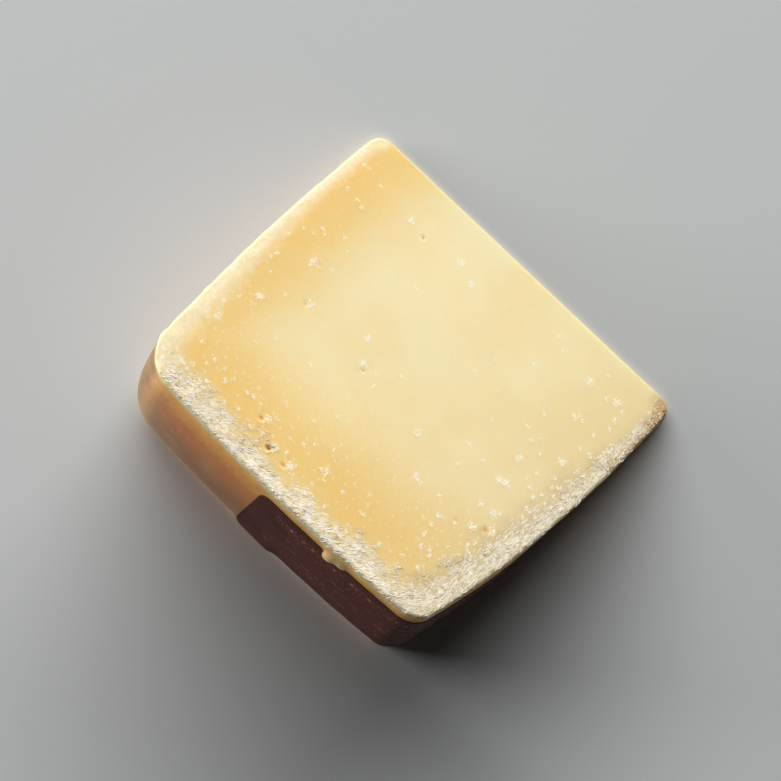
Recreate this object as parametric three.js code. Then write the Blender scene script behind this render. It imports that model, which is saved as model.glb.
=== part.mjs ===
import * as THREE from 'three';

// A wedge cut from a small wheel of hard sheep's-milk cheese, lying on one of its two cut faces.
// X runs from the wheel's axis out to the rim, Y runs along the axis and Z is up, in millimetres.
// The wedge is a closed outline, in radius and axial place, swept round the wheel's axis.

// Wedge
const wedgeAngle = THREE.MathUtils.degToRad(28.7);
const coreRadius = 3; // the thin edge stops just short of the wheel's axis
const barrelReach = 103.7; // where the barrel of the rim aims, so that its middle is at about 102.3

// The flat side towards -Y, with its corner at the thin edge and its shoulder at the rim
const nearCoreHeight = 52.2;
const nearSwell = { radius: 47.8, height: 54.7 };
const nearCorner = { round: 5, radius: coreRadius + 5, height: nearCoreHeight - 5 };
const nearShoulder = { round: 11.7, radius: 89.1, height: 41 };

// The crowned side towards +Y, which falls away before its tighter shoulder
const farCoreHeight = 54;
const farSwell = { radius: 57.7, height: 54.3 };
const farCorner = { round: 4, radius: coreRadius + 4, height: farCoreHeight - 4 };
const farShoulder = { round: 7.5, radius: 93.6, height: 38 };
const farFallAngle = THREE.MathUtils.degToRad(12); // how far that side leans in where its shoulder starts

// Cut edges and surface; each relief has a height, the size of its lumps, and a seed
const edgeRound = 0.7; // how far the soft upper edge draws in
const edgeCrumble = { height: 0.3, lump: 2.6, seed: 9 }; // ragged edge along both flat sides
const knifeWave = { height: 0.25, lump: 28, seed: 1 }; // broad waves that the knife left in the upper face
const dryGrain = { height: 0.4, lump: 3.3, seed: 2 }; // rough relief of the dried border
const dryShare = 0.13; // share of the face that the dried border takes, at the rim and the far side
const rindWave = { height: 0.3, lump: 24, seed: 5 }; // unevenness of the rind
const rindWaveStart = 40; // the rind is true and plain nearer the core than this radius

// Small eyes and nicks in the upper face: radius and axial place, depth
const pits = [
  { radius: 45.6, axial: -38, depth: 0.9 },
  { radius: 56.6, axial: -32.7, depth: 0.8 },
  { radius: 17.8, axial: -23.8, depth: 0.8 },
  { radius: 58.9, axial: -10.3, depth: 1.1 },
  { radius: 89.1, axial: -19.8, depth: 1.1 },
  { radius: 93.8, axial: -13.2, depth: 1.2 },
  { radius: 68.2, axial: 40.1, depth: 1 },
];

// A smear of wax and cheese that hangs over the rim's upper edge
const smear = { axial: 18.5, halfLength: 3.2, drop: 3.8, halfHeight: 2.6, proud: 1.2, margin: 0.8 };

// Paper label, stuck round the rim and the far shoulder
const labelThick = 0.3;
const labelGap = 0.3;
const labelStartAxial = -8.6;
const labelLength = 102;
const labelEndSkew = 1.8;
const labelTopDropStart = 3.4; // below the upper cut face, at the label's free end
const labelTopDropRest = 4.8;
const labelFoot = 5; // above the surface that the wedge lies on
const labelCorner = 3;

// How finely the surfaces are divided
const acrossSteps = 56; // from one flat side to the other
const outSteps = 44; // from the core to the rim
const sweepSteps = 10;
const sweepBunching = 1.6; // more than 1 draws the steps of the rim together under the cut edge
const labelWideSteps = 8;
const labelStep = 2.4;
const arcPoints = 12;

function ease(low, high, value) {
  return THREE.MathUtils.smoothstep(value, low, high);
}

// Smooth seeded noise between -1 and 1
function latticeValue(i, j, seed) {
  const wave = Math.sin(i * 127.1 + j * 311.7 + seed * 74.7) * 43758.5453;
  return 2 * (wave - Math.floor(wave)) - 1;
}

function softNoise(x, y, seed) {
  const i = Math.floor(x);
  const j = Math.floor(y);
  const a = ease(0, 1, x - i);
  const b = ease(0, 1, y - j);
  const low = THREE.MathUtils.lerp(latticeValue(i, j, seed), latticeValue(i + 1, j, seed), a);
  const high = THREE.MathUtils.lerp(latticeValue(i, j + 1, seed), latticeValue(i + 1, j + 1, seed), a);
  return THREE.MathUtils.lerp(low, high, b);
}

function relief({ height, lump, seed }, x, y) {
  return height * softNoise(x / lump, y / lump, seed);
}

// The wheel's outline: Vector2.x is the radius and Vector2.y the axial place. Its four round corners
// are cut in half, so that each half belongs to one of the face's four edges.
const quarter = Math.PI / 2;

function cornerArc(corner, side, from, to) {
  const turn = side * Math.sign(to - from) < 0;
  return new THREE.EllipseCurve(
    corner.radius,
    side * corner.height,
    corner.round,
    corner.round,
    side * from,
    side * to,
    turn,
  );
}

function halfArcs(corner, side, from, to) {
  const middle = (from + to) / 2;
  return [cornerArc(corner, side, from, middle), cornerArc(corner, side, middle, to)];
}

// A flat side, slightly swollen, from its corner at the core to its shoulder
function flatSide(start, swell, side, end) {
  return new THREE.QuadraticBezierCurve(start, new THREE.Vector2(swell.radius, side * swell.height), end);
}

function pathOf(curves) {
  const path = new THREE.CurvePath();
  curves.forEach((curve) => path.add(curve));
  return path;
}

const nearCore = halfArcs(nearCorner, -1, 2 * quarter, quarter);
const nearRim = halfArcs(nearShoulder, -1, quarter, 0);
const farCore = halfArcs(farCorner, 1, 2 * quarter, quarter);
const farRim = halfArcs(farShoulder, 1, quarter - farFallAngle, 0);
const nearFlat = flatSide(nearCore[1].getPoint(1), nearSwell, -1, nearRim[0].getPoint(0));
const farFlat = flatSide(farCore[1].getPoint(1), farSwell, 1, farRim[0].getPoint(0));
const coreLine = new THREE.LineCurve(nearCore[0].getPoint(0), farCore[0].getPoint(0));
const barrel = new THREE.QuadraticBezierCurve(
  nearRim[1].getPoint(1),
  new THREE.Vector2(barrelReach, 0),
  farRim[1].getPoint(1),
);

// The same curve run the other way
function backwards(curve) {
  return new THREE.SplineCurve(curve.getPoints(arcPoints).reverse());
}

const corePath = pathOf([backwards(nearCore[0]), coreLine, farCore[0]]);
const rimPath = pathOf([nearRim[1], barrel, backwards(farRim[1])]);
const nearPath = pathOf([nearCore[1], nearFlat, nearRim[0]]);
const farPath = pathOf([farCore[1], farFlat, farRim[0]]);

// The stretch that the label follows, round the rim and back along the far side
const labelPath = pathOf([barrel, backwards(farRim[1]), backwards(farRim[0]), backwards(farFlat)]);

// The point at a radius and axial place, turned up from the lower cut face by an angle
function turned(radius, axial, angle) {
  return new THREE.Vector3(radius * Math.cos(angle), axial, radius * Math.sin(angle));
}

// Collects triangles, and turns them into one closed geometry
class Shell {
  constructor() {
    this.positions = [];
    this.indices = [];
  }

  point(vector) {
    this.positions.push(vector.x, vector.y, vector.z);
    return this.positions.length / 3 - 1;
  }

  place(index) {
    return new THREE.Vector3().fromArray(this.positions, index * 3);
  }

  triangle(a, b, c) {
    this.indices.push(a, b, c);
  }

  smallestArea(...triangles) {
    return Math.min(...triangles.map((corners) => new THREE.Triangle(...corners.map((k) => this.place(k))).getArea()));
  }

  // Splits a quad along the diagonal that leaves no sliver
  quad(a, b, c, d) {
    if (this.smallestArea([a, b, c], [a, c, d]) >= this.smallestArea([a, b, d], [b, c, d])) {
      this.triangle(a, b, c);
      this.triangle(a, c, d);
    } else {
      this.triangle(a, b, d);
      this.triangle(b, c, d);
    }
  }

  geometry() {
    const geometry = new THREE.BufferGeometry();
    geometry.setAttribute('position', new THREE.Float32BufferAttribute(this.positions, 3));
    geometry.setIndex(this.indices);
    geometry.computeVertexNormals();
    return geometry;
  }
}

// Cheese and rind, one solid

// The place in the cut face at two shares: across from the near side, and out from the core
function facePlace(across, out, edges) {
  const point = new THREE.Vector2();
  point.addScaledVector(edges.core, 1 - out);
  point.addScaledVector(edges.rim, out);
  point.addScaledVector(edges.near, 1 - across);
  point.addScaledVector(edges.far, across);
  point.addScaledVector(edges.corners[0], -(1 - across) * (1 - out));
  point.addScaledVector(edges.corners[1], -across * (1 - out));
  point.addScaledVector(edges.corners[2], -(1 - across) * out);
  point.addScaledVector(edges.corners[3], -across * out);
  return point;
}

// Height of the upper cut face above its plane
function faceRelief(place, across, out) {
  const dry = Math.max(ease(1 - dryShare, 1, across), ease(1 - dryShare, 1, out));
  return relief(knifeWave, place.x, place.y) + dry * relief(dryGrain, place.x, place.y);
}

// How far the rind stands out of the swept outline, at a place in it and a depth under the cut face
function rindRelief(place, depth) {
  const waves = relief(rindWave, place.x, place.y + depth) * ease(0, rindWaveStart, place.x);
  const along = (place.y - smear.axial) / smear.halfLength;
  const down = (depth - smear.drop) / smear.halfHeight;
  const onRim = place.x > farShoulder.radius ? 1 : 0;
  return waves + onRim * smear.proud * Math.exp(-along * along - down * down);
}

function buildWedge() {
  const shell = new Shell();
  const core = corePath.getSpacedPoints(acrossSteps);
  const rim = rimPath.getSpacedPoints(acrossSteps);
  const near = nearPath.getSpacedPoints(outSteps);
  const far = farPath.getSpacedPoints(outSteps);
  const corners = [near[0], far[0], near[outSteps], far[outSteps]];

  // Grid of places over the face, and the nearest inner grid point drawn to each pit
  const grid = [];
  for (let j = 0; j <= outSteps; j += 1) {
    for (let i = 0; i <= acrossSteps; i += 1) {
      const across = i / acrossSteps;
      const out = j / outSteps;
      const edges = { core: core[i], rim: rim[i], near: near[j], far: far[j], corners };
      const place = facePlace(across, out, edges);
      const inner = i > 0 && j > 0 && i < acrossSteps && j < outSteps;
      grid.push({ place, inner, height: faceRelief(place, across, out) });
    }
  }
  pits.forEach((pit) => {
    const centre = new THREE.Vector2(pit.radius, pit.axial);
    const inner = grid.filter((node) => node.inner);
    const nearest = inner.reduce((a, b) => (a.place.distanceTo(centre) < b.place.distanceTo(centre) ? a : b));
    nearest.place.copy(centre);
    nearest.height -= pit.depth;
  });

  // The closed ring of the outline, core first, then far side, rim and near side
  const row = acrossSteps + 1;
  const ring = [];
  for (let i = 0; i < acrossSteps; i += 1) ring.push(i);
  for (let j = 0; j < outSteps; j += 1) ring.push(j * row + acrossSteps);
  for (let i = acrossSteps; i > 0; i -= 1) ring.push(outSteps * row + i);
  for (let j = outSteps; j > 0; j -= 1) ring.push(j * row);
  const count = ring.length;
  const outline = ring.map((k) => grid[k].place.clone());
  const outward = outline.map((_, k) => {
    const along = outline[(k + 1) % count].clone().sub(outline[(k + count - 1) % count]);
    return new THREE.Vector2(-along.y, along.x).normalize();
  });

  // Soft, slightly crumbled upper edge
  ring.forEach((k, n) => {
    const side = ease(0.6, 0.9, Math.abs(outward[n].y));
    const ragged = side * relief(edgeCrumble, outline[n].x, side * outward[n].y);
    grid[k].place.addScaledVector(outward[n], ragged - edgeRound);
  });

  // Upper cut face
  const lift = new THREE.Vector3(-Math.sin(wedgeAngle), 0, Math.cos(wedgeAngle));
  const face = grid.map(({ place, height }) =>
    shell.point(turned(place.x, place.y, wedgeAngle).addScaledVector(lift, height)),
  );
  for (let j = 0; j < outSteps; j += 1) {
    for (let i = 0; i < acrossSteps; i += 1) {
      const k = j * row + i;
      shell.quad(face[k], face[k + row], face[k + row + 1], face[k + 1]);
    }
  }

  // Rind and core edge: rings from the upper edge down, closer together near it
  let upper = ring.map((k) => face[k]);
  for (let level = 1; level <= sweepSteps; level += 1) {
    const even = level / sweepSteps;
    const lower = outline.map((place, n) => {
      const share = THREE.MathUtils.lerp(even, even ** sweepBunching, ease(0, barrelReach, place.x));
      const proud = rindRelief(place, share * wedgeAngle * place.x);
      const stands = place.clone().addScaledVector(outward[n], proud);
      return shell.point(turned(stands.x, stands.y, wedgeAngle * (1 - share)));
    });
    for (let n = 0; n < count; n += 1) {
      const next = (n + 1) % count;
      shell.quad(upper[n], upper[next], lower[next], lower[n]);
    }
    upper = lower;
  }

  // Flat lower cut face, which the wedge lies on: a fan from its middle
  const middle = shell.point(turned(barrelReach / 2, 0, 0));
  upper.forEach((k, n) => shell.triangle(k, upper[(n + 1) % count], middle));
  return shell.geometry();
}

// Label: a thin strip of paper that follows the rind

// Distances along the label: close together at its rounded ends
function labelStations() {
  const stations = [];
  const corner = [0, 1, 2].map((k) => labelCorner * (1 - Math.cos((k * Math.PI) / 6)));
  stations.push(...corner);
  const middle = labelLength - 2 * labelCorner;
  const steps = Math.round(middle / labelStep);
  for (let k = 0; k <= steps; k += 1) stations.push(labelCorner + (middle * k) / steps);
  stations.push(...corner.map((distance) => labelLength - distance).reverse());
  return stations;
}

function buildLabel() {
  const shell = new Shell();
  const pathLength = labelPath.getLength();
  const labelStart = nearShoulder.height + labelStartAxial;

  // One point of the label, at a share across it from its top edge, on its inner or outer skin
  function labelPoint(distance, down, off) {
    const along = labelStart + distance + labelEndSkew * (1 - down) * (1 - distance / labelLength);
    const place = labelPath.getPoint(along / pathLength);
    const tangent = labelPath.getTangent(along / pathLength);
    const normal = new THREE.Vector2(tangent.y, -tangent.x);

    const fromEnd = Math.min(distance, labelLength - distance, labelCorner);
    const cornerCut = labelCorner - Math.sqrt(labelCorner ** 2 - (labelCorner - fromEnd) ** 2);
    const rest = ease(0, barrel.getLength(), distance);
    const notch = (place.y - smear.axial) / (smear.halfLength + smear.margin);
    const overSmear = place.x > farShoulder.radius ? smear.halfHeight * Math.exp(-(notch ** 4)) : 0;
    const topDrop = THREE.MathUtils.lerp(labelTopDropStart, labelTopDropRest, rest) + cornerCut + overSmear;
    const foot = labelFoot + cornerCut;
    const highest = wedgeAngle - Math.asin(topDrop / place.x);
    const lowest = Math.asin(foot / place.x);
    const angle = THREE.MathUtils.lerp(highest, lowest, down);
    const proud = off + rindRelief(place, (wedgeAngle - angle) * place.x);
    return shell.point(turned(place.x + normal.x * proud, place.y + normal.y * proud, angle));
  }

  const stations = labelStations();
  const skins = [labelGap, labelGap + labelThick].map((off) =>
    stations.map((distance) =>
      Array.from({ length: labelWideSteps + 1 }, (_, k) => labelPoint(distance, k / labelWideSteps, off)),
    ),
  );
  const [inner, outer] = skins;
  const last = stations.length - 1;
  for (let i = 0; i < last; i += 1) {
    for (let k = 0; k < labelWideSteps; k += 1) {
      shell.quad(outer[i][k], outer[i][k + 1], outer[i + 1][k + 1], outer[i + 1][k]);
      shell.quad(inner[i][k], inner[i + 1][k], inner[i + 1][k + 1], inner[i][k + 1]);
    }
    shell.quad(inner[i][0], outer[i][0], outer[i + 1][0], inner[i + 1][0]);
    const k = labelWideSteps;
    shell.quad(inner[i][k], inner[i + 1][k], outer[i + 1][k], outer[i][k]);
  }
  for (let k = 0; k < labelWideSteps; k += 1) {
    shell.quad(inner[0][k], inner[0][k + 1], outer[0][k + 1], outer[0][k]);
    shell.quad(inner[last][k], outer[last][k], outer[last][k + 1], inner[last][k + 1]);
  }
  return shell.geometry();
}

const cheese = new THREE.Mesh(
  buildWedge(),
  new THREE.MeshStandardMaterial({ color: 0xf0dca6, roughness: 0.6, metalness: 0 }),
);
cheese.name = 'cheese_wedge';

const label = new THREE.Mesh(
  buildLabel(),
  new THREE.MeshStandardMaterial({ color: 0x4a2722, roughness: 0.55, metalness: 0 }),
);
label.name = 'rind_label';

// The origin is under the middle of the wedge, on the surface that it lies on
const wedge = new THREE.Group();
wedge.add(cheese, label);
const box = new THREE.Box3().setFromObject(wedge, true);
wedge.position.set(-(box.min.x + box.max.x) / 2, -(box.min.y + box.max.y) / 2, -box.min.z);

const pecorino = new THREE.Group();
pecorino.add(wedge);
pecorino.updateMatrixWorld(true);

export default pecorino;
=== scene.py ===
import math
from types import SimpleNamespace

import bpy
import numpy as np
from mathutils import Matrix, Vector


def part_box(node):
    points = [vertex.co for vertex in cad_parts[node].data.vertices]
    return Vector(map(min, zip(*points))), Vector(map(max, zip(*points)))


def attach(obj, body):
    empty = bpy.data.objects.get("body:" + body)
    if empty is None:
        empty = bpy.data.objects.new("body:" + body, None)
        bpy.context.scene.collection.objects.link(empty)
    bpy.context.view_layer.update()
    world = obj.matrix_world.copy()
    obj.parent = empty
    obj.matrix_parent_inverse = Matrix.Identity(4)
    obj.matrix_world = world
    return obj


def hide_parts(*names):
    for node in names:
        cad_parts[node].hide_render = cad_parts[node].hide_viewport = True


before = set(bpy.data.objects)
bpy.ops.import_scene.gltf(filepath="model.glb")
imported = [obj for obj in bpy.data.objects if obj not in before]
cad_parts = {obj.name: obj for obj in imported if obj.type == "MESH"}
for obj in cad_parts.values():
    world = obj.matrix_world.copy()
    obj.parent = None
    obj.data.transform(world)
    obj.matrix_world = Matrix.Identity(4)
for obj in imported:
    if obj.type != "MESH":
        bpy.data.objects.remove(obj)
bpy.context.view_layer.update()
scene = bpy.context.scene


# Camera: a long lens almost straight above the wedge, leaning slightly towards its thin edge.
# The wedge lies turned in the picture, with its thin edge at the upper right.
camera_place = Vector((0.01147, 0.03207, 0.84126))
camera_aim = Vector((-0.00232, -0.0031, 0.0))
picture_turn = math.radians(223.6)  # from +X to the top of the picture
lens_length = 147.5
sensor_width = 36.0

back = (camera_place - camera_aim).normalized()
top_of_picture = Vector((math.cos(picture_turn), math.sin(picture_turn), 0))
right = top_of_picture.cross(back).normalized()
up = back.cross(right)
camera_data = bpy.data.cameras.new("camera")
camera_data.lens = lens_length
camera_data.sensor_width = sensor_width
camera = bpy.data.objects.new("camera", camera_data)
camera.matrix_world = Matrix.Translation(camera_place) @ Matrix((right, up, back)).transposed().to_4x4()
scene.collection.objects.link(camera)
scene.camera = camera


# The cheese: a wedge of a small hard wheel, made of pressed curd with a smooth waxy rind. It lies on
# one of its two cut faces. Its outline is swept round the wheel's axis, in millimetres, and then the
# upper face gets its grain and eyes, and the rind its soft waves.
METRES = 0.001
wedge_angle = math.radians(28.7)
core_radius = 3.0
barrel_reach = 103.7
near_side = {
    "core_height": 52.2, "core_round": 5.0, "swell": (47.8, 54.7),
    "shoulder": (89.1, 41.0), "shoulder_round": 11.7, "fall": 0.0, "sign": -1,
}
far_side = {
    "core_height": 54.0, "core_round": 4.0, "swell": (57.7, 54.3),
    "shoulder": (93.6, 38.0), "shoulder_round": 7.5, "fall": math.radians(12), "sign": 1,
}

# The wheel's axis, which runs along Y through this point in the shared frame
cheese_low, cheese_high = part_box("cheese_wedge")
box_middle_axial = 0.1  # where the middle of the wedge's box lies along the wheel
axis_place = np.array([
    cheese_low.x / METRES - core_radius * math.cos(wedge_angle),
    (cheese_low.y + cheese_high.y) / 2 / METRES - box_middle_axial,
    0.0,
])

fine_step = 0.32  # between the points of the cut face's dry borders
plain_step = 0.62  # between the points elsewhere
border_width = 17.0  # of the dry borders along the rim and the far side
near_strip, core_strip = 7.0, 3.0  # how wide the finely divided strips along the other two edges are
all_fine = 0.6  # share of a border or strip that has the finest steps throughout
station_samples = 4001
arc_points, bow_points = 25, 121
side_levels = 50
edge_round = 1.0  # the soft upper and lower edges
quarter_inset = 1 - math.sqrt(0.5)  # where a quarter round is met halfway
knife_wave = {"height": 0.25, "lump": 28.0, "seed": 1}
dry_grain = {"height": 0.14, "lump": 3.3, "seed": 2}
dry_crumb = {"height": 0.045, "lump": 0.9, "seed": 3}
edge_crumble = {"height": 0.3, "lump": 2.6, "seed": 9}
edge_chips = {"height": 0.1, "lump": 0.8, "seed": 11}
rind_wave = {"height": 0.3, "lump": 24.0, "seed": 5}
rind_dimple = {"height": 0.05, "lump": 3.5, "seed": 6}
rind_wave_start = 40.0
border_wander = {"height": 3.0, "lump": 9.0, "seed": 21}
border_fray = {"height": 2.0, "lump": 2.6, "seed": 22}

# A smear of wax and curd that hangs over the label's upper edge: a bulb and its tail
smears = [
    {"axial": 16.1, "half_length": 1.5, "drop": 4.5, "half_height": 2.1, "proud": 1.0},
    {"axial": 18.9, "half_length": 2.4, "drop": 3.3, "half_height": 1.8, "proud": 0.7},
]
smear_full = 0.4  # where the smear is thick enough to hide the rind

# Eyes and nicks in the cut face: radius and axial place, depth, how wide
eyes = [
    (45.6, -38.0, 0.7, 0.45), (56.6, -32.7, 0.6, 0.5), (17.8, -23.8, 0.7, 0.45), (58.9, -10.3, 0.9, 0.45),
    (57.2, -9.0, 0.5, 0.35), (60.4, -11.6, 0.45, 0.35), (89.1, -19.8, 0.9, 0.55), (93.8, -13.2, 1.0, 0.65),
    (94.6, -7.4, 0.6, 0.5), (68.2, 40.1, 0.25, 0.8), (46.6, -36.4, 0.4, 0.3), (87.9, -21.0, 0.5, 0.35),
    (71.9, 32.8, 0.4, 0.5),
]
eye_wobble = {"height": 0.35, "lump": 0.5, "seed": 14}
eye_lip = {"height": 0.12, "place": 1.6, "sharpness": 3}

# Crumbs in small clumps out on the paste: radius and axial place of each clump that shows clearly
crumb_clumps = [
    (76.7, -46.0), (64.2, -42.3), (16.3, -29.4), (15.1, -12.3), (17.9, -6.4), (51.3, -15.4), (87.7, 1.1),
    (61.2, 10.5), (70.8, 18.0), (14.9, 33.5), (13.4, 42.3), (46.1, 33.8), (38.3, 42.4), (54.0, 35.5),
    (63.2, 38.8), (70.1, 36.9), (54.8, 34.0), (57.6, -11.6), (45.6, -39.2), (55.6, -31.9), (88.2, -18.6),
    (92.6, -12.2), (67.2, 41.6), (93.6, -6.4),
]
clump_reach = 1.55
loose_clumps = 230  # more of them, smaller, scattered over the outer part of the face
loose_reach = 0.85
loose_draws = 4000
loose_spread = 12  # how far in from the edges they thin out
crumb_random = np.random.default_rng(8)
crumb_lift = 0.05
crumb_grain = {"height": 0.07, "lump": 0.7, "seed": 17}


def ease(low, high, value):
    share = np.clip((value - low) / (high - low), 0, 1)
    return share * share * (3 - 2 * share)


def lattice(i, j, seed):
    wave = np.sin(i * 127.1 + j * 311.7 + seed * 74.7) * 43758.5453
    return 2 * (wave - np.floor(wave)) - 1


def relief(kind, x, y):
    """Smooth seeded unevenness, between minus and plus its height."""
    x, y = x / kind["lump"], y / kind["lump"]
    i, j = np.floor(x), np.floor(y)
    a, b = ease(0, 1, x - i), ease(0, 1, y - j)
    seed = kind["seed"]
    low = lattice(i, j, seed) * (1 - a) + lattice(i + 1, j, seed) * a
    high = lattice(i, j + 1, seed) * (1 - a) + lattice(i + 1, j + 1, seed) * a
    return kind["height"] * (low * (1 - b) + high * b)


def arc(middle, reach, start, end):
    turn = np.linspace(start, end, arc_points)
    return np.stack([middle[0] + reach * np.cos(turn), middle[1] + reach * np.sin(turn)], axis=1)


def bow(start, pull, end):
    share = np.linspace(0, 1, bow_points)[:, None]
    return (1 - share) ** 2 * start + 2 * share * (1 - share) * np.array(pull) + share**2 * end


def side_outline(side):
    """One flat side of the wheel with its two round corners, each cut in half, as radius and axial place."""
    quarter = math.pi / 2
    core_middle = (core_radius + side["core_round"], side["core_height"] - side["core_round"])
    core_arcs = [arc(core_middle, side["core_round"], a * quarter, (a - 0.5) * quarter) for a in (2, 1.5)]
    start = quarter - side["fall"]
    rim_arcs = [arc(side["shoulder"], side["shoulder_round"], a, a - start / 2) for a in (start, start / 2)]
    flat = bow(core_arcs[1][-1], side["swell"], rim_arcs[0][0])
    curves = {"core": core_arcs[0], "flat": [core_arcs[1], flat, rim_arcs[0]], "rim": rim_arcs[1]}
    mirror = np.array([1, side["sign"]])
    return {
        "core": curves["core"] * mirror,
        "flat": np.concatenate(curves["flat"]) * mirror,
        "rim": curves["rim"] * mirror,
    }


def run_length(line):
    steps = np.linalg.norm(np.diff(line, axis=0), axis=1)
    return np.concatenate([[0], np.cumsum(steps)])


def along(line, shares):
    run = run_length(line)
    return np.stack([np.interp(shares * run[-1], run, line[:, k]) for k in range(2)], axis=1)


def stations(length, start_border, end_border):
    """Shares along an edge, closer together over the borders at its two ends."""
    place = np.linspace(0, length, station_samples)
    past_start = ease(start_border * all_fine, start_border, place)
    before_end = ease(end_border * all_fine, end_border, length - place)
    step = fine_step + (plain_step - fine_step) * (past_start * before_end)
    count = np.cumsum(1 / step) * (place[1] - place[0])
    total = round(count[-1])
    shares = np.interp(np.linspace(count[0], count[-1], total + 1), count, place) / length
    shares[0], shares[-1] = 0, 1
    return shares


near = side_outline(near_side)
far = side_outline(far_side)
barrel = bow(near["rim"][-1], (barrel_reach, 0), far["rim"][-1])
rim_line = np.concatenate([near["rim"], barrel, far["rim"][::-1]])
core_line = np.concatenate([near["core"][::-1], far["core"]])
across = stations(run_length(rim_line)[-1], near_strip, border_width)
out = stations(run_length(far["flat"])[-1], core_strip, border_width)
true_edges = {
    "core": along(core_line, across), "rim": along(rim_line, across),
    "near": along(near["flat"], out), "far": along(far["flat"], out),
}


def round_at(radius):
    """How round the cut edges are: less where the wedge gets thin."""
    return np.minimum(edge_round, 0.25 * wedge_angle * radius)


def outward_of(ring):
    along_ring = np.roll(ring, -1, axis=0) - np.roll(ring, 1, axis=0)
    turned = np.stack([-along_ring[:, 1], along_ring[:, 0]], axis=1)
    return turned / np.linalg.norm(turned, axis=1)[:, None]


# The outline as one closed ring of grid points: core edge, far side, rim, near side
rows, columns = len(out), len(across)
grid_index = np.arange(rows * columns).reshape(rows, columns)
ring_index = np.concatenate([
    grid_index[0, :-1], grid_index[:-1, -1], grid_index[-1, :0:-1], grid_index[:0:-1, 0],
])
ring = np.concatenate([
    true_edges["core"][:-1], true_edges["far"][:-1], true_edges["rim"][:0:-1], true_edges["near"][:0:-1],
])
outward = outward_of(ring)
sidewise = ease(0.6, 0.9, np.abs(outward[:, 1]))
ragged = sidewise * (
    relief(edge_crumble, ring[:, 0], sidewise * outward[:, 1])
    + relief(edge_chips, ring[:, 0], ring[:, 1])
)
ring_round = round_at(ring[:, 0])
drawn_in = ring + outward * (ragged - quarter_inset * ring_round)[:, None]

# The cut face's places: four drawn-in edges, with a smooth sheet between them
drawn = np.zeros((rows * columns, 2))
drawn[ring_index] = drawn_in
drawn = drawn.reshape(rows, columns, 2)
u, v = across[None, :, None], out[:, None, None]
face = (
    (1 - v) * drawn[0][None] + v * drawn[-1][None]
    + (1 - u) * drawn[:, 0][:, None] + u * drawn[:, -1][:, None]
    - (1 - u) * (1 - v) * drawn[0, 0] - u * (1 - v) * drawn[0, -1]
    - (1 - u) * v * drawn[-1, 0] - u * v * drawn[-1, -1]
)


def nearest(places, line):
    """How far each place lies from a line of points."""
    return np.concatenate([
        np.linalg.norm(some[:, None] - line[None], axis=2).min(axis=1)
        for some in np.array_split(places, max(1, len(places) // 400))
    ])


def edge_distances(places):
    return {name: nearest(places, line) for name, line in true_edges.items()}


def dryness(places, distances):
    """1 in the rough dried border, 0 in the smooth paste."""
    x, y = places[:, 0], places[:, 1]
    wander = relief(border_wander, x, y) + relief(border_fray, x, y)
    at_rim = (1 - ease(3.0, 11.0, distances["rim"] + wander)) * ease(-1.0, 8.0, distances["near"])
    far_width = 0.55 + 0.45 * ease(15.0, 60.0, x)
    at_far = 1 - ease(3.0, 12.0, distances["far"] / far_width + wander)
    return np.maximum(at_rim, at_far)


def clumped_crumbs(places):
    """1 in the middle of a clump of crumbs, 0 away from all of them."""
    named = nearest(places, np.array(crumb_clumps)) / clump_reach
    loose = nearest(places, loose_middles) / loose_reach
    return np.maximum(np.exp(-(named**4)), np.exp(-(loose**4)))


def eye_depths(places):
    """1 in the middle of an eye, 0 away from all of them."""
    x, y = places[:, 0], places[:, 1]
    depths = np.zeros(len(places))
    for radius, axial, _, width in eyes:
        depths = np.maximum(depths, np.exp(-((np.hypot(x - radius, y - axial) / width) ** 2)))
    return depths


# Where the loose clumps lie: more of them towards the rim and the far side
loose_radii = crumb_random.uniform(8, 98, loose_draws)
loose_axials = crumb_random.uniform(-49, 51, loose_draws)
loose_middles = np.stack([loose_radii, loose_axials], axis=1)
loose_edges = edge_distances(loose_middles)
loose_edge = np.minimum.reduce([loose_edges["rim"], loose_edges["far"], loose_edges["near"] * 2])
loose_chance = np.exp(-loose_edge / loose_spread)
loose_middles = loose_middles[crumb_random.uniform(0, 1, loose_draws) < loose_chance][:loose_clumps]


def face_height(places, distances):
    """How high the cut face stands above its plane."""
    x, y = places[:, 0], places[:, 1]
    dry = dryness(places, distances)
    edge = np.minimum.reduce(list(distances.values()))
    near_band = 1 - ease(1.5, 7.0, distances["near"])
    rough = np.maximum(dry, 0.7 * near_band) * ease(0.3, 2.2, edge)
    height = relief(knife_wave, x, y) + rough * (relief(dry_grain, x, y) + relief(dry_crumb, x, y))
    for radius, axial, depth, width in eyes:
        reach = np.hypot(x - radius, y - axial) / width * (1 + relief(eye_wobble, x, y))
        lip = eye_lip["height"] * depth * np.exp(-((reach - eye_lip["place"]) ** 2) * eye_lip["sharpness"])
        height = height - depth * np.exp(-(reach**2)) + lip
    height = height + clumped_crumbs(places) * (crumb_lift + relief(crumb_grain, x, y))
    soft = round_at(x)
    inside = np.clip(soft - edge, 0, soft)
    return height - (soft - np.sqrt(np.maximum(soft**2 - inside**2, 0)))


def turned(places, angle, lift=0.0):
    """Places in the wheel's section, swung up from the lower cut face by an angle and then lifted."""
    angle = np.broadcast_to(angle, len(places))
    x = places[:, 0] * np.cos(angle) - lift * np.sin(angle)
    z = places[:, 0] * np.sin(angle) + lift * np.cos(angle)
    return np.stack([x, places[:, 1], z], axis=1)


def rind_relief(places, depth):
    """How far the rind stands out, at a depth under the upper cut face."""
    x, y = places[:, 0], places[:, 1]
    waves = relief(rind_wave, x, y + depth) * ease(0, rind_wave_start, x)
    dimples = relief(rind_dimple, x - y, depth + 0.3 * y) * ease(0, 2, depth)
    return waves + dimples


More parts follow.
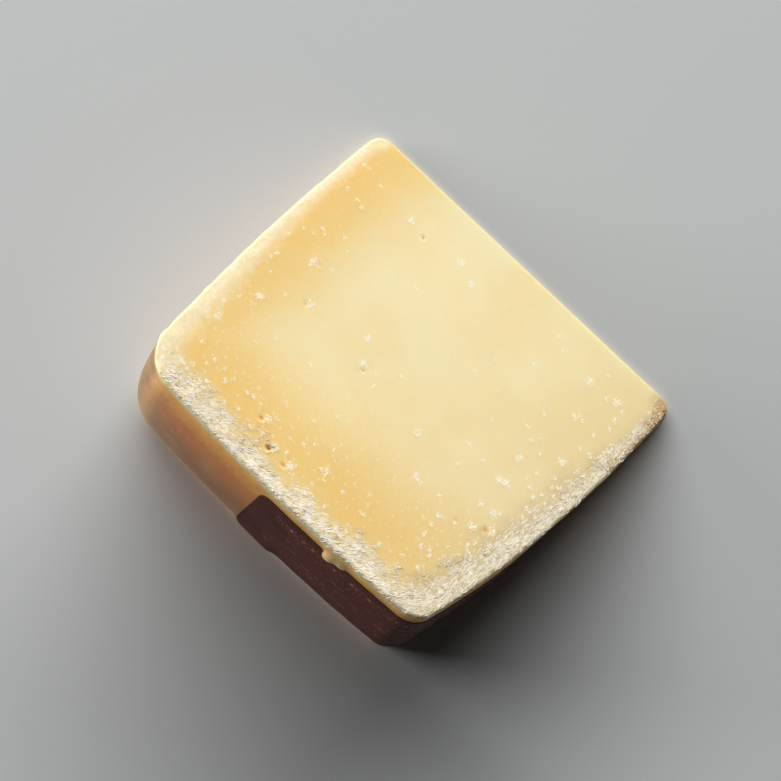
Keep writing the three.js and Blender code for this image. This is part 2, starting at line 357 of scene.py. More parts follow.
def smear_relief(places, depth):
    x, y = places[:, 0], places[:, 1]
    stands = 0.0
    for smear in smears:
        length = (y - smear["axial"]) / smear["half_length"]
        down = (depth - smear["drop"]) / smear["half_height"]
        stands = stands + smear["proud"] * np.exp(-(np.abs(length) ** 3) - down**2)
    return stands * (x > far_side["shoulder"][0])


def make_piece(name, points, faces, notes):
    """A mesh object from points in millimetres, with what varies over it kept as named attributes."""
    mesh = bpy.data.meshes.new(name)
    mesh.from_pydata(((points + axis_place) * METRES).tolist(), [], faces)
    for note, values in notes.items():
        vector = values.ndim == 2
        attribute = mesh.attributes.new(note, "FLOAT_VECTOR" if vector else "FLOAT", "POINT")
        attribute.data.foreach_set("vector" if vector else "value", values.astype(np.float32).ravel())
    mesh.shade_smooth()
    piece = bpy.data.objects.new(name, mesh)
    scene.collection.objects.link(piece)
    return piece


def quads(rings_of_index):
    """Faces between rows of point numbers, each row as long as the next."""
    table = np.array(rings_of_index)
    corners = [table[:-1, :-1], table[1:, :-1], table[1:, 1:], table[:-1, 1:]]
    return np.stack(corners, axis=2).reshape(-1, 4).tolist()


face_places = face.reshape(-1, 2)
face_distances = edge_distances(face_places)
face_points = turned(face_places, wedge_angle, face_height(face_places, face_distances))
ring_distances = {name: values[ring_index] for name, values in face_distances.items()}

# The rind, from the upper cut edge to the lower one, in levels that draw together at both
arc_length = wedge_angle * ring[:, 0]
upper_edge_height = face_height(face_places, face_distances)[ring_index] + quarter_inset * ring_round
side_points, side_wheel, side_depth, side_smear = [], [], [], []
upper_depth = ring_round * quarter_inset
for level in range(1, side_levels + 1):
    even = level / side_levels
    bunched = 0.5 - 0.5 * math.cos(math.pi * even)
    share = 0.8 * bunched + 0.2 * even
    depth = upper_depth + share * (arc_length - 2 * upper_depth)
    edge = np.minimum(depth, arc_length - depth)
    inside = np.clip(ring_round - edge, 0, None)
    inset = ring_round - np.sqrt(np.maximum(ring_round**2 - inside**2, 0))
    stands = rind_relief(ring, depth) * ease(0, 2.5, edge) + smear_relief(ring, depth)
    stands = stands - inset + ragged * np.exp(-depth / 1.2)
    places = ring + outward * stands[:, None]
    angle = wedge_angle - (depth - upper_edge_height * np.exp(-depth / 1.5)) / ring[:, 0]
    side_points.append(turned(places, angle))
    side_wheel.append(np.stack([ring[:, 0], ring[:, 1], depth], axis=1))
    side_depth.append(edge)
    side_smear.append(np.clip(smear_relief(ring, depth) / smear_full, 0, 1))

# The lower cut face: flat, closing in on its middle
lower_shares = (0.985, 0.85, 0.65, 0.45, 0.25, 0.1)
lower_middle = np.array([barrel_reach / 2, 0.0])
lower_rim = ring - outward * ring_round[:, None]
lower_places = [lower_middle + share * (lower_rim - lower_middle) for share in (1.0,) + lower_shares]
for places in lower_places:
    side_points.append(turned(places, 0.0))
    side_wheel.append(np.stack([places[:, 0], places[:, 1], arc_length], axis=1))
    side_depth.append(np.zeros(len(ring)))

ring_count = len(ring)
level_index = [ring_index] + [
    len(face_places) + ring_count * k + np.arange(ring_count) for k in range(len(side_points))
]
closed_levels = [np.append(level, level[0]) for level in level_index]
cheese_points = np.concatenate([face_points] + side_points + [turned(lower_middle[None], 0.0)])
middle_index = len(cheese_points) - 1
cheese_faces = quads(grid_index) + quads(np.array(closed_levels)[:, ::-1])
last_ring = closed_levels[-1]
cheese_faces += [(int(a), int(b), middle_index) for a, b in zip(last_ring[:-1], last_ring[1:])]

face_wheel = np.stack([face_places[:, 0], face_places[:, 1], np.zeros(len(face_places))], axis=1)
middle_wheel = np.array([[lower_middle[0], 0.0, wedge_angle * lower_middle[0]]])
wheel_notes = np.concatenate([face_wheel] + side_wheel + [middle_wheel])
lower_distances = [edge_distances(places) for places in lower_places]
middle_distances = edge_distances(lower_middle[None])
face_zero = np.zeros(len(face_places))
below_zero = np.zeros(ring_count * len(lower_places) + 1)
side_zero = np.zeros(ring_count * side_levels)
cheese_notes = {
    "crumbs": np.concatenate([clumped_crumbs(face_places), side_zero, below_zero]),
    "eyes": np.concatenate([eye_depths(face_places), side_zero, below_zero]),
    "wheel": wheel_notes,
    "rind_depth": np.concatenate([face_zero] + side_depth + [[0.0]]),
    "smear": np.concatenate([face_zero] + side_smear + [below_zero]),
}
for name, values in face_distances.items():
    around = [ring_distances[name]] * side_levels + [distances[name] for distances in lower_distances]
    cheese_notes["from_" + name] = np.concatenate([values] + around + [middle_distances[name]])

cheese = make_piece("cheese", cheese_points, cheese_faces, cheese_notes)


class Value:
    """A shader socket that can be reckoned with: each operator adds one Math node."""

    def __init__(self, finish, socket):
        self.finish = finish
        self.socket = socket

    def __add__(self, other):
        return self.finish.math("ADD", self, other)

    def __radd__(self, other):
        return self.finish.math("ADD", other, self)

    def __sub__(self, other):
        return self.finish.math("SUBTRACT", self, other)

    def __rsub__(self, other):
        return self.finish.math("SUBTRACT", other, self)

    def __mul__(self, other):
        return self.finish.math("MULTIPLY", self, other)

    def __rmul__(self, other):
        return self.finish.math("MULTIPLY", other, self)

    def __truediv__(self, other):
        return self.finish.math("DIVIDE", self, other)


class Finish:
    """One material. node() adds any node, with its settings first and then its sockets."""

    def __init__(self, name):
        self.material = bpy.data.materials.new(name)
        self.material.use_nodes = True
        self.tree = self.material.node_tree
        self.tree.nodes.clear()

    def node(self, kind, settings=None, sockets=None, output=0):
        made = self.tree.nodes.new("ShaderNode" + kind)
        for name, value in (settings or {}).items():
            if name == "stops":
                ramp = made.color_ramp
                while len(ramp.elements) < len(value):
                    ramp.elements.new(0.5)
                for element, (place, colour) in zip(ramp.elements, value):
                    element.position = place
                    element.color = colour
            else:
                setattr(made, name, value)
        for name, value in (sockets or {}).items():
            if isinstance(value, Value):
                self.tree.links.new(value.socket, made.inputs[name])
            else:
                made.inputs[name].default_value = value
        return Value(self, made.outputs[output])

    def math(self, operation, *values):
        return self.node("Math", {"operation": operation}, dict(enumerate(values)))

    def larger(self, a, b):
        return self.math("MAXIMUM", a, b)

    def smaller(self, a, b):
        return self.math("MINIMUM", a, b)

    def vector(self, operation, a, b, output=0):
        return self.node("VectorMath", {"operation": operation}, {0: a, 1: b}, output)

    def note(self, name, vector=False):
        output = "Vector" if vector else "Fac"
        return self.node("Attribute", {"attribute_name": name}, output=output)

    def smooth(self, low, high, value):
        settings = {"interpolation_type": "SMOOTHSTEP"}
        return self.node("MapRange", settings, {"Value": value, "From Min": low, "From Max": high})

    def noise(self, place, lump, detail=2.0, roughness=0.5):
        sockets = {"Vector": place, "Scale": 1 / lump, "Detail": detail, "Roughness": roughness}
        return self.node("TexNoise", None, sockets)

    def stretched(self, place, shares, turn=0.0):
        """The place, turned in the plane of the cut face and then scaled along each axis."""
        if turn:
            place = self.node("VectorRotate", {"rotation_type": "Z_AXIS"}, {"Vector": place, "Angle": turn})
        return self.vector("MULTIPLY", place, shares)

    def mix(self, factor, a, b):
        return self.node("Mix", {"data_type": "RGBA"}, {0: factor, 6: a, 7: b}, output=2)

    def surface(self, **sockets):
        """One Principled shader, from sockets named in lower case."""
        titled = {}
        for name, value in sockets.items():
            titled[name.replace("_", " ").title().replace("Ior", "IOR")] = value
        return self.node("BsdfPrincipled", None, titled, output="BSDF")

    def finished(self, shader):
        output = self.tree.nodes.new("ShaderNodeOutputMaterial")
        self.tree.links.new(shader.socket, output.inputs["Surface"])
        return self.material


def tint(red, green, blue):
    """A colour as seen on a screen, 0 to 255, as the light that it stands for."""
    shares = [value / 255 for value in (red, green, blue)]
    light = [s / 12.92 if s <= 0.04045 else ((s + 0.055) / 1.055) ** 2.4 for s in shares]
    return (*light, 1.0)


def cheese_places(look):
    """What the finish goes by: the place in the wheel, how far each edge is, and the fine grains."""
    wheel = look.note("wheel", vector=True)
    radius, axial, down = (look.node("SeparateXYZ", None, {0: wheel}, output=k) for k in range(3))
    edges = {name: look.note("from_" + name) for name in ("rim", "far", "near", "core")}
    return SimpleNamespace(
        wheel=wheel, radius=radius, axial=axial, down=down, rind_depth=look.note("rind_depth"),
        grains=look.noise(wheel, 1.3, 3.0, 0.6), **edges,
    )


def paste_colour(look, at):
    """Cream, deeper and more golden towards the rind, with faint clouds and grains."""
    clouds = look.noise(at.wheel, 26.0, 2.0)
    golden_rim = 1 - look.smooth(9.0, 42.0, at.rim)
    golden_near = 1 - look.smooth(5.0, 30.0, at.near)
    golden = look.larger(golden_rim, golden_near * 0.95)
    duller = 1 - look.smooth(4.0, 34.0, at.far)
    paste = look.mix(look.smooth(0.36, 0.64, clouds), tint(244, 224, 170), tint(247, 230, 182))
    paste = look.mix(golden * 0.85, paste, tint(243, 203, 112))
    paste = look.mix(duller * 0.5, paste, tint(230, 208, 152))
    return look.mix(look.smooth(0.5, 0.75, at.grains) * 0.2, paste, tint(240, 228, 196))


def dried_border(look, at):
    """How dry the cut face is, how dry its far side is, and the knife's fine strokes."""
    wander = (look.noise(at.wheel, 9.0, 3.0) - 0.5) * 12.0
    far_wide = at.far / (0.55 + 0.45 * look.smooth(15.0, 60.0, at.radius))
    past_near = look.smooth(-1.0, 8.0, at.near)
    dry_rim = (1 - look.smooth(2.0, 12.0, at.rim + wander)) * past_near
    dry_far = 1 - look.smooth(2.5, 13.0, far_wide + wander)
    strokes_far = look.noise(look.stretched(at.wheel, (0.5, 2.3, 1.0)), 1.0, 3.0, 0.6)
    strokes_rim = look.noise(look.stretched(at.wheel, (0.55, 2.2, 1.0), math.radians(58)), 1.0, 3.0, 0.6)
    beside_rim = look.smooth(-3.0, 3.0, at.far - at.rim)
    strokes = strokes_far + beside_rim * (strokes_rim - strokes_far)
    return look.larger(dry_rim, dry_far), dry_far, strokes


def dried_colour(look, at, paste, dry, dry_far, strokes):
    """White strokes on the paste, close together at the edge and ever fewer inwards, and pale spots."""
    clumped = strokes + (look.noise(at.wheel, 2.4, 2.0) - 0.5) * 0.3
    scarce = 0.43 + (1 - dry) * 0.3
    white = look.smooth(0.0, 0.1, clumped - scarce) * look.smooth(0.0, 0.25, dry)
    spots = look.smooth(0.62, 0.72, look.noise(at.wheel, 1.5, 1.0))
    spots = spots * (1 - look.smooth(14.0, 55.0, at.rim) * 0.8)
    face_look = look.mix(dry * 0.6, paste, tint(236, 214, 164))
    face_look = look.mix(dry_far * 0.85, face_look, tint(208, 186, 138))
    face_look = look.mix(white * (0.9 - dry_far * 0.25), face_look, tint(252, 246, 232))
    return look.mix(spots * 0.4, face_look, tint(252, 243, 220))


def near_edge(look, at, face_look):
    """The cut face with a soft pale band along its near side, partly a paler dried crumbly band and partly a
    painted highlight of the window light on that edge, with painted shade right at the lit edge; and where
    that band lies.
    """
    near_wide = at.near * (1.7 - 0.7 * look.smooth(20.0, 75.0, at.radius))
    wander = (look.noise(at.wheel, 2.2, 3.0, 0.6) - 0.5) * 8.0
    band = 1 - look.smooth(1.0, 9.0, near_wide + wander)
    flecks = look.smooth(0.5, 0.6, look.noise(at.wheel, 1.1, 3.0, 0.6))
    flecks = flecks * (1 - look.smooth(1.0, 6.0, near_wide))
    lit_edge_painted_shade = 1 - look.smooth(0.2, 1.6, look.smaller(at.near, at.core * 1.8))
    # The pale band is partly a painted highlight of the window light along the near edge, and partly the
    # paler dried curd there.
    face_look = look.mix(band * 0.75, face_look, tint(250, 238, 202))
    face_look = look.mix(flecks * 0.7, face_look, tint(254, 249, 234))
    # Painted shade: the near and core edges, which the window lights, are painted a darker tan within about
    # 1.6 mm of the near edge and less at the core.
    return look.mix(lit_edge_painted_shade * 0.75, face_look, tint(198, 180, 140)), band


def far_edge(look, at, face_look):
    """The cut face with a thin golden-brown line at its far edge, and brown crust near the core."""
    crust_place = at.far + (look.noise(at.wheel, 2.2, 3.0, 0.6) - 0.5) * 6.0
    crust_place = crust_place - 1.3 * (1 - look.smooth(8.0, 18.0, at.radius))
    crust = (1 - look.smooth(1.0, 2.8, crust_place)) * (1 - look.smooth(22.0, 36.0, at.radius))
    edge_line = (1 - look.smooth(0.1, 0.7, at.far)) * 0.5
    specks = look.smooth(0.62, 0.68, look.noise(at.wheel, 0.5, 2.0)) * crust
    face_look = look.mix(look.larger(crust * 0.7, edge_line), face_look, tint(186, 146, 84))
    return look.mix(specks * 0.8, face_look, tint(84, 52, 26))


def rind_colour_with_painted_light(look, at, grain, mottle):
    """Golden just under the cut edge, then amber, then a duller tan. The golden and amber are a painted glow
    of light that passes through the cheese under its cut edges, and the tan is the rind's own colour. The
    near side is paler in its own colour and clouded, and it is painted darker as painted shade where the
    window lights it.
    """
    ramp = [
        (0.0, tint(250, 224, 158)), (0.04, tint(250, 206, 118)), (0.12, tint(244, 178, 84)),
        (0.32, tint(214, 134, 70)), (0.7, tint(164, 108, 67)), (1.0, tint(140, 102, 70)),
    ]
    cloud = (look.noise(at.wheel, 9.0, 3.0) - 0.5) * 3.5
    # The painted glow runs down from the upper cut edge. From the lower cut edge it starts 9 mm into the
    # ramp, so only a weaker orange-brown part of the painted glow shows there.
    run = look.smaller(at.down, at.rind_depth + 9.0)
    run = look.larger(run + cloud * look.smooth(1.0, 8.0, run), 0.0) / 30.0
    near_rind = 1 - look.smooth(-48.0, -36.0, at.axial)
    pale = look.larger(look.smooth(0.45, 0.75, look.noise(at.wheel, 17.0, 2.0)) * 0.2, near_rind * 0.5)
    window_side_painted_shade = 1 - look.smooth(0.2, 5.5, look.smaller(at.near, at.core))
    side_clouds = look.smooth(0.4, 0.66, look.noise(at.wheel, 6.0, 4.0, 0.6))
    wax_spots = look.smooth(0.6, 0.75, look.noise(at.wheel, 1.9, 3.0, 0.6))
    rind = look.node("ValToRGB", {"stops": ramp}, {"Fac": run}, output="Color")
    rind = look.mix(look.smooth(0.35, 0.8, grain) * 0.12, rind, tint(150, 95, 55))
    rind = look.mix(pale, rind, tint(222, 184, 134))
    # Painted shade: the rind on the near side and round the core, which the window lights most, is painted
    # darker.
    rind = look.mix(window_side_painted_shade * 0.9, rind, tint(142, 112, 76))
    rind = look.mix(side_clouds * window_side_painted_shade * 0.5, rind, tint(110, 84, 58))
    rind = look.mix(look.smooth(0.42, 0.72, mottle) * 0.28, rind, tint(168, 112, 66))
    rind = look.mix(wax_spots * 0.25, rind, tint(232, 200, 150))
    return look.mix(look.note("smear") * 0.85, rind, tint(244, 214, 150))


def cheese_finish():
    """Moist paste and rind that light sinks into, and an opaque crumbly border and crumbs."""
    look = Finish("pecorino cheese")
    at = cheese_places(look)
    dry, dry_far, strokes = dried_border(look, at)
    eye_look = look.smooth(0.25, 0.8, look.note("eyes"))
    crumb_noise = look.noise(at.wheel, 0.6, 2.0, 0.6)
    crumbs = look.smooth(0.0, 0.1, crumb_noise - 0.7 + look.note("crumbs") * 0.27)
    face_look = dried_colour(look, at, paste_colour(look, at), dry, dry_far, strokes)
    face_look = look.mix(eye_look * 0.85, face_look, tint(232, 186, 84))
    face_look = look.mix(crumbs * 0.85, face_look, tint(253, 247, 232))
    face_look, near_band = near_edge(look, at, face_look)
    face_look = far_edge(look, at, face_look)

    rind_grain = look.noise(at.wheel, 1.1, 3.0, 0.6)
    mottle = look.noise(at.wheel, 3.2, 4.0, 0.65)
    on_rind = look.smooth(0.25, 1.6, at.rind_depth)
    colour = look.mix(on_rind, face_look, rind_colour_with_painted_light(look, at, rind_grain, mottle))

    roughness = 0.58 + dry * 0.25 + (at.grains - 0.5) * 0.12
    roughness = roughness + on_rind * (0.46 - roughness) + on_rind * (rind_grain - 0.5) * 0.2

    face_bump = at.grains * 0.02 + dry * strokes * 0.035
    rind_bump = rind_grain * 0.035 + look.noise(at.wheel, 0.35, 2.0) * 0.012 + mottle * 0.09
    height = face_bump + on_rind * (rind_bump - face_bump)
    normal = look.node("Bump", None, {"Height": height, "Distance": METRES, "Strength": 1.0})
    moist = look.surface(
        base_color=colour, roughness=roughness, normal=normal, specular_ior_level=0.35,
        subsurface_weight=1.0, subsurface_radius=(1.0, 0.85, 0.65), subsurface_scale=0.003,
    )
    crumbly = look.surface(base_color=colour, roughness=roughness, normal=normal, specular_ior_level=0.3)
    edge = look.smaller(look.smaller(at.rim, at.far), at.near)
    opaque = look.larger(look.larger(dry, near_band * 0.8) * look.smooth(0.3, 1.6, edge), crumbs * 0.8)
    opaque = opaque * (1 - on_rind)
    return look.finished(look.node("MixShader", None, {0: opaque, 1: moist, 2: crumbly}, output="Shader"))


cheese.data.materials.append(cheese_finish())
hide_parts("cheese_wedge")
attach(cheese, "root")


# Dried flakes: slivers of curd that dried white and stand up along the knife's strokes, thick along the
# rim and the far side and thinning out into the smooth paste. Each is a low closed ridge.
flake_count = 6500
flake_draws = 80000
flake_points = 11  # three rows of three points across each sliver, and a tip at both ends
flake_clumps = {"height": 1.0, "lump": 3.2, "seed": 31}
flake_clear = 0.55  # how far the flakes stay from the cut edge
rim_heading, far_heading = math.radians(120), math.radians(180)
heading_spread = 0.33
flake_sunk = -0.012
flake_random = np.random.default_rng(41)


def flakes(name, places, lengths, widths, heights, headings, tones):
    """Low slivers lying on the cut face, each with a point at both ends and a bend."""
    count = len(places)
    distances = edge_distances(places)
    reach = np.array([-1.0, -0.5, 0.05, 0.55, 1.0])
    swell = np.array([0.0, 0.85, 1.0, 0.8, 0.0])
    bend = flake_random.uniform(-0.25, 0.25, count)[:, None] * lengths[:, None] * (1 - reach**2)[None]
    run = lengths[:, None] / 2 * reach[None]
    wide = widths[:, None] / 2 * swell[None]
    tall = heights[:, None] * swell[None]
    ground = face_height(places, distances)
    directions = np.stack([np.cos(headings), np.sin(headings)], axis=1)
    sideways = np.stack([-directions[:, 1], directions[:, 0]], axis=1)

    def point(share, lift):
        flat = places[:, None] + directions[:, None] * run[..., None]
        flat = flat + sideways[:, None] * (bend + share * wide)[..., None]
        flat = flat.reshape(-1, 2)
        return turned(flat, wedge_angle, (ground[:, None] + lift).reshape(-1)).reshape(count, len(reach), 3)

    sunk = np.full(tall.shape, flake_sunk)
    left, ridge, right_edge = point(-1.0, sunk), point(0.0, tall), point(1.0, sunk)
    middles = np.stack([left[:, 1:4], ridge[:, 1:4], right_edge[:, 1:4]], axis=2)
    tips = np.stack([ridge[:, 0], ridge[:, 4]], axis=1)
    points = np.concatenate([middles.reshape(count, flake_points - 2, 3), tips], axis=1)
    pattern = []
    for k in range(2):
        a, b = 3 * k, 3 * (k + 1)
        pattern += [(b, b + 1, a + 1, a), (b + 1, b + 2, a + 2, a + 1), (b + 2, b, a, a + 2)]
    pattern += [(0, 1, 9), (1, 2, 9), (2, 0, 9), (7, 6, 10), (8, 7, 10), (6, 8, 10)]
    faces = [tuple(corner + flake_points * k for corner in one) for k in range(count) for one in pattern]
    notes = {"tone": np.repeat(tones, flake_points)}
    return make_piece(name, points.reshape(-1, 3), faces, notes)


# Chance of a flake at each place: high in the dried border, and a few beyond it in clumps
pick_u = flake_random.uniform(0, 1, flake_draws)
pick_v = flake_random.uniform(0, 1, flake_draws)
column = np.interp(pick_u, across, np.arange(columns))
row = np.interp(pick_v, out, np.arange(rows))
whole_row, whole_column = row.astype(int).clip(0, rows - 2), column.astype(int).clip(0, columns - 2)
part_row, part_column = (row - whole_row)[:, None], (column - whole_column)[:, None]
tries = (
    face[whole_row, whole_column] * (1 - part_row) * (1 - part_column)
    + face[whole_row + 1, whole_column] * part_row * (1 - part_column)
    + face[whole_row, whole_column + 1] * (1 - part_row) * part_column
    + face[whole_row + 1, whole_column + 1] * part_row * part_column
)
try_distances = edge_distances(tries)
try_dry = dryness(tries, try_distances)
clump = relief(flake_clumps, tries[:, 0], tries[:, 1])
chance = 0.55 * ease(0.15, 0.8, try_dry) * (0.7 + 0.3 * clump) * (0.35 + 0.65 * ease(6.0, 26.0, tries[:, 0]))
inside_edge = np.minimum.reduce(list(try_distances.values())) > flake_clear
kept = np.flatnonzero((flake_random.uniform(0, 1, flake_draws) < chance) & inside_edge)[:flake_count]
flake_places = tries[kept]
flake_dry = try_dry[kept]
beside_far = ease(-4.0, 4.0, try_distances["rim"][kept] - try_distances["far"][kept])
heading = rim_heading * (1 - beside_far) + far_heading * beside_far
heading = heading + flake_random.normal(0, heading_spread, len(kept))
flake_lengths = flake_random.gamma(4.0, 0.36, len(flake_places)).clip(0.5, 3.0) * (0.55 + 0.45 * flake_dry)
flake_widths = flake_random.uniform(0.16, 0.34, len(flake_places))
flake_heights = flake_random.uniform(0.01, 0.032, len(flake_places)) * (0.6 + 0.4 * flake_dry)
flake_tones = flake_random.uniform(0, 1, len(flake_places))
dry_flakes = flakes(
    "dry_flakes", flake_places, flake_lengths, flake_widths, flake_heights, heading, flake_tones
)


def flake_finish(name, dull, pale):
    look = Finish(name)
    place = look.node("TexCoord", output="Object")
    grain = look.noise(place, 0.0006, 2.0)
    tone = look.note("tone")
    colour = look.mix(look.smooth(0.1, 0.8, tone), dull, pale)
    colour = look.mix(look.smooth(0.4, 0.7, grain) * 0.3, colour, dull)
    normal = look.node("Bump", None, {"Height": grain * 0.06, "Distance": METRES})
    return look.finished(look.surface(
        base_color=colour, roughness=0.74 + grain * 0.16, normal=normal, specular_ior_level=0.3,
    ))


dry_flakes.data.materials.append(flake_finish("dried curd", tint(236, 220, 182), tint(252, 246, 230)))
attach(dry_flakes, "root")


# Crust flecks: dark scraps and short hairs of dry rind. The knife tore them along the far edge near the
# core, and they stuck to the cut face there. They have the same form as the flakes, but stand higher.
fleck_count = 46
fleck_radii = [4.5, 9.9, 12.0, 19.3, 24.0, 29.1]  # where along the far edge they gather
fleck_spread = 1.6
fleck_stretch = (5, 34)  # the stretch of the far edge that they keep to, as radii
fleck_random = np.random.default_rng(5)
fleck_gathered = fleck_random.choice(fleck_radii, fleck_count)
fleck_at = fleck_gathered + fleck_random.normal(0, fleck_spread, fleck_count)
fleck_rows = np.searchsorted(true_edges["far"][:, 0], fleck_at.clip(*fleck_stretch))
fleck_outward = outward[len(across) - 1 + fleck_rows]
fleck_inset = fleck_random.gamma(2.0, 0.45, fleck_count)[:, None] + 0.35
fleck_places = true_edges["far"][fleck_rows] - fleck_outward * fleck_inset
crust_flecks = flakes(
    "crust_flecks", fleck_places,
    lengths=fleck_random.uniform(0.4, 1.3, fleck_count),
    widths=fleck_random.uniform(0.12, 0.3, fleck_count),
    heights=fleck_random.uniform(0.05, 0.14, fleck_count),
    headings=fleck_random.uniform(0, math.pi, fleck_count),
    tones=fleck_random.uniform(0, 1, fleck_count),
)
crust_flecks.data.materials.append(flake_finish("torn crust", tint(70, 42, 22), tint(150, 104, 56)))
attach(crust_flecks, "root")


# The label: a strip of dark red-brown coated paper, stuck round the rim and the tight shoulder on to the
# far side. Its free end has round corners and stands a little off the rind.
paper_thick = 0.16
paper_off = 0.05
label_start_axial = -8.6
label_length = 102.0
label_end_skew = 1.8
label_top_drop = (3.4, 4.8)
label_foot = 5.0
label_end_foot = 7.6  # at the free end, whose lower corner is cut higher
label_end_run = (2.0, 16.0)  # the stretch over which that cut comes down to the plain foot
label_end_curve = {"reach": 6.0, "lift": 9.0}  # the long round of that corner
label_corner = 3.0
label_step = 0.5
label_wide_steps = 60
tangent_reach = 0.4  # how far to each side the label's direction is measured
bulge = {"start": 10.5, "reach": 14.0, "height": 0.75}  # where the paper's free end stands off the rind

label_line = np.concatenate([barrel, far["rim"][::-1], far["flat"][::-1]])
label_line = label_line[np.concatenate([[True], np.linalg.norm(np.diff(label_line, axis=0), axis=1) > 1e-6])]
label_run = run_length(label_line)


def label_points(distance, down, off):
    """Points on the label, at a distance along it and a share down it, on its inner or outer skin."""
    start = near_side["shoulder"][1] + label_start_axial
    placed = start + distance + label_end_skew * (1 - down) * (1 - distance / label_length)
    place = along(label_line, placed / label_run[-1])
    ahead = along(label_line, (placed + tangent_reach) / label_run[-1])
    behind = along(label_line, (placed - tangent_reach) / label_run[-1])
    tangent = (ahead - behind) / np.linalg.norm(ahead - behind, axis=1)[:, None]
    normal = np.stack([tangent[:, 1], -tangent[:, 0]], axis=1)

    from_end = np.minimum(np.minimum(distance, label_length - distance), label_corner)
    corner_cut = label_corner - np.sqrt(label_corner**2 - (label_corner - from_end) ** 2)
    rest = ease(0, run_length(barrel)[-1], distance)
    top_drop = label_top_drop[0] * (1 - rest) + label_top_drop[1] * rest + corner_cut
    highest = wedge_angle - np.arcsin(top_drop / place[:, 0])
    foot = label_foot + (label_end_foot - label_foot) * (1 - ease(*label_end_run, distance)) + corner_cut
    short = np.clip(1 - distance / label_end_curve["reach"], 0, 1)
    foot = foot + label_end_curve["lift"] * (1 - np.sqrt(1 - short**2))
    lowest = np.arcsin(foot / place[:, 0])
    angle = highest * (1 - down) + lowest * down
    depth = (wedge_angle - angle) * place[:, 0]
    loose = bulge["height"] * (1 - ease(bulge["start"], bulge["reach"], distance)) * ease(0.4, 0.9, down)
    proud = off + loose + rind_relief(place, depth)
    points = turned(place + normal * proud[:, None], angle)
    return points, depth


def build_label():
    corner = label_corner * (1 - np.cos(np.linspace(0, math.pi / 2, 7)))
    middle = np.arange(label_corner, label_length - label_corner, label_step)
    distances = np.concatenate([corner[:-1], middle, label_length - corner[::-1]])
    shares = np.linspace(0, 1, label_wide_steps + 1)
    distance, down = (a.ravel() for a in np.meshgrid(distances, shares, indexing="ij"))
    outer, depth = label_points(distance, down, paper_off + paper_thick)
    inner, _ = label_points(distance, down, paper_off)
    count = len(outer)
    table = np.arange(count).reshape(len(distances), len(shares))
    under = table + count
    faces = quads(table[::-1]) + quads(under)
    border = np.concatenate([table[:-1, 0], table[-1, :-1], table[:0:-1, -1], table[0, :0:-1]])
    edge = np.append(border, border[0])
    faces += quads([edge, edge + count])
    paper = np.stack([distance, depth, np.zeros(count)], axis=1)
    notes = {"paper": np.concatenate([paper, paper])}
    return make_piece("paper_label", np.concatenate([outer, inner]), faces, notes)


def label_finish():
    look = Finish("coated paper")
    paper = look.note("paper", vector=True)
    distance = look.node("SeparateXYZ", None, {0: paper}, output=0)
    down = look.node("SeparateXYZ", None, {0: paper}, output=1)
    cloud = look.noise(paper, 7.0, 3.0)
    fibre = look.noise(paper, 0.5, 3.0, 0.6)
    base = look.mix(look.smooth(0.35, 0.7, cloud), tint(72, 26, 19), tint(84, 33, 24))

    # Print: rows of short plain dashes among fine specks, worn in places
    row = (down - 7.2) / 3.9
    in_row = look.math("FRACT", row)
    row_number = look.math("FLOOR", row)
    on_row = look.smooth(0.0, 0.06, in_row) * (1 - look.smooth(0.3, 0.38, in_row))
    dash_place = look.node("CombineXYZ", None, {0: distance * 0.62, 1: row_number * 7.3, 2: 0.0})
    dashes = look.smooth(0.5, 0.58, look.noise(dash_place, 0.9, 1.0))
    marks = look.smooth(0.55, 0.62, look.noise(look.stretched(paper, (1.0, 1.4, 1.0)), 0.65, 2.0, 0.6))
    words = look.smooth(0.4, 0.5, look.noise(dash_place, 6.0, 0.0))
    worn = look.smooth(0.3, 0.6, look.noise(paper, 0.7, 2.0))
    set_back = 6.0 * look.smooth(10.0, 11.0, down) * (1 - look.smooth(22.0, 23.0, down))
    inset = look.smooth(6.5, 7.5, distance - set_back)
    strength = 0.85 - 0.45 * look.smooth(9.0, 11.0, down)
    printed = inset * look.smooth(5.4, 6.4, down) * (1 - look.smooth(30.0, 32.0, down))
    print_mask = look.larger(on_row * dashes * words * worn, marks * 0.55) * printed
    colour = look.mix(print_mask * strength, base, tint(196, 136, 104))
    scuffs = look.smooth(0.48, 0.66, look.noise(paper, 0.9, 3.0, 0.7)) * look.smooth(9.0, 18.0, distance)
    colour = look.mix(scuffs * 0.3, colour, tint(150, 86, 64))
    colour = look.mix(look.smooth(0.45, 0.8, fibre) * 0.15, colour, tint(56, 28, 22))
    normal = look.node("Bump", None, {"Height": fibre * 0.03, "Distance": METRES})
    return look.finished(look.surface(
        base_color=colour, roughness=0.6 + (fibre - 0.5) * 0.2, normal=normal, specular_ior_level=0.28,
    ))


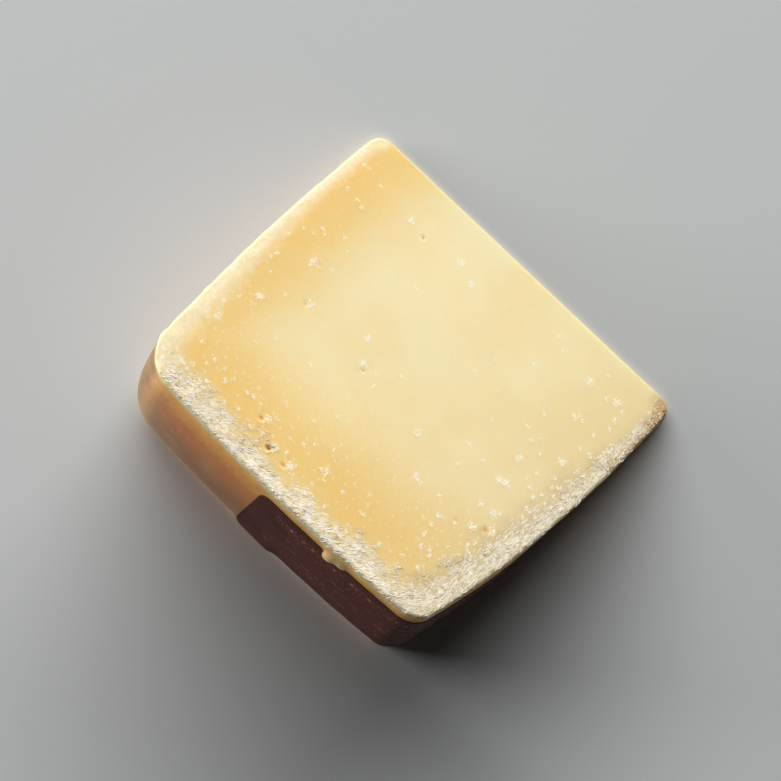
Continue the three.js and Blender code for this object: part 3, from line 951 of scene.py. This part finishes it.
label = build_label()
label.data.materials.append(label_finish())
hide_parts("rind_label")
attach(label, "root")


# The floor: one plain pale grey square, smooth and matt, at the height that the wedge lies on. It isn't
# part of the object.
floor_half = 2.0
floor_corners = [(x * floor_half, y * floor_half, 0) for x, y in ((-1, -1), (1, -1), (1, 1), (-1, 1))]
floor_mesh = bpy.data.meshes.new("floor")
floor_mesh.from_pydata(floor_corners, [], [(0, 1, 2, 3)])
floor = bpy.data.objects.new("floor", floor_mesh)
scene.collection.objects.link(floor)
floor_look = Finish("pale floor")
floor_surface = floor_look.surface(base_color=tint(226, 229, 228), roughness=0.85)
floor_mesh.materials.append(floor_look.finished(floor_surface))


# Light: a wide low window of soft light beyond the top of the picture, a weak pale reflector at its
# left, and a dim even sky
window = {"turn": -2.0, "height": 20.5, "distance": 3.6, "wide": 6.0, "tall": 1.5, "power": 262.0}
reflector = {"turn": 70.0, "height": 7.0, "distance": 1.6, "wide": 0.8, "tall": 0.25, "power": 20.5}
sky_strength = 0.014


def soft_lamp(name, plan):
    """A rectangle of light facing the wedge. Its turn is from the top of the picture to the left."""
    data = bpy.data.lights.new(name, "AREA")
    data.shape = "RECTANGLE"
    data.size, data.size_y = plan["wide"], plan["tall"]
    data.energy = plan["power"]
    turn, height = picture_turn + math.radians(plan["turn"]), math.radians(plan["height"])
    towards = Vector((math.cos(turn) * math.cos(height), math.sin(turn) * math.cos(height), math.sin(height)))
    lamp = bpy.data.objects.new(name, data)
    lamp.location = towards * plan["distance"]
    lamp.rotation_mode = "QUATERNION"
    lamp.rotation_quaternion = towards.to_track_quat("Z", "Y")
    lamp.visible_camera = False
    scene.collection.objects.link(lamp)


soft_lamp("window", window)
soft_lamp("reflector", reflector)

world = bpy.data.worlds.new("even sky")
world.use_nodes = True
world.node_tree.nodes["Background"].inputs["Color"].default_value = (0.95, 0.98, 1.0, 1)
world.node_tree.nodes["Background"].inputs["Strength"].default_value = sky_strength
scene.world = world
scene.view_settings.view_transform = "Standard"
